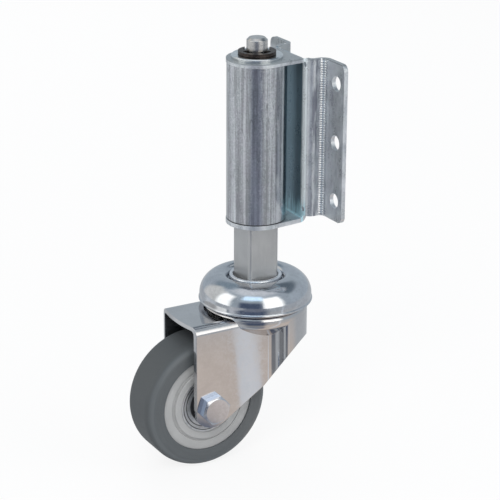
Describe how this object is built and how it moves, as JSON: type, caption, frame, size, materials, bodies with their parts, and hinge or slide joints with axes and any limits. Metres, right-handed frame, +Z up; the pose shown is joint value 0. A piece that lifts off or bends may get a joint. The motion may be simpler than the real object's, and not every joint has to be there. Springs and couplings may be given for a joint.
{
  "type": "swivel castor",
  "caption": "Sprung swivel castor with a side bracket, a spring-loaded square post in a round tube and a soft grey wheel in an offset fork.",
  "frame": {"origin": "middle of the six-hole bolt pattern, on the back face of the bracket's lips", "axes": "+X out of the mounting face, away from the castor; +Z up along the post; +Y along the wheel's axle"},
  "size_m": [0.1153, 0.0826, 0.2547],
  "materials": {
    "bracket_zinc": "bright zinc plating on folded sheet",
    "tube_zinc": "bright zinc plating on a drawn tube",
    "bush_zinc": "bright zinc plating",
    "post_zinc": "satin zinc plating on drawn square bar",
    "cap_zinc": "bright zinc plating on a deep pressing",
    "fork_zinc": "bright zinc plating on a pressed fork",
    "bolt_zinc": "bright zinc plating",
    "turned_steel": "turned bare steel",
    "clip_steel": "blackened spring steel",
    "spring_steel": "dark oiled spring steel",
    "inner_steel": "plain steel",
    "race_steel": "ground steel",
    "ball_steel": "polished steel balls",
    "shield_steel": "pressed steel shield",
    "guide_plastic": "black moulded plastic",
    "tyre_rubber": "dark grey thermoplastic rubber, satin",
    "core_plastic": "light grey moulded plastic"
  },
  "bodies": {
    "bracket": {"mounting_bracket": "bracket_zinc", "housing_tube": "tube_zinc", "guide_bush": "bush_zinc", "lower_guide": "guide_plastic", "compression_spring": "spring_steel"},
    "plunger": {"square_post": "post_zinc", "spring_seat": "inner_steel", "plunger_rod": "turned_steel", "retaining_clip": "clip_steel", "head_collar": "cap_zinc", "swivel_cap": "cap_zinc", "upper_race": "race_steel", "king_pin": "race_steel", "lower_race": "race_steel"},
    "swivel_fork": {"fork": "fork_zinc", "upper_balls": "ball_steel", "lower_balls": "ball_steel", "axle_bolt": "bolt_zinc", "axle_nut": "bolt_zinc", "nut_washer": "bolt_zinc", "axle_sleeve": "inner_steel", "hub_spacer": "inner_steel", "end_spacers": "inner_steel", "inner_ring_near": "race_steel", "inner_ring_far": "race_steel"},
    "wheel": {"tyre": "tyre_rubber", "wheel_core": "core_plastic", "outer_ring_near": "race_steel", "outer_ring_far": "race_steel", "bearing_balls_near": "ball_steel", "bearing_balls_far": "ball_steel", "shields_near": "shield_steel", "shields_far": "shield_steel"}
  },
  "joints": [
    {"name": "post_slide", "type": "slide", "parent": "bracket", "child": "plunger", "axis": [0, 0, 1], "range_m": [0, 0.024], "stiffness_N_per_m": 9000, "springref_m": -0.012, "deforming": ["compression_spring"]},
    {"name": "fork_swivel", "type": "hinge", "parent": "plunger", "child": "swivel_fork", "pos_m": [-0.0355, 0, -0.1], "axis": [0, 0, 1], "continuous": true},
    {"name": "wheel_spin", "type": "hinge", "parent": "swivel_fork", "child": "wheel", "pos_m": [-0.0753, 0, -0.15585], "axis": [0, 1, 0], "continuous": true}
  ]
}
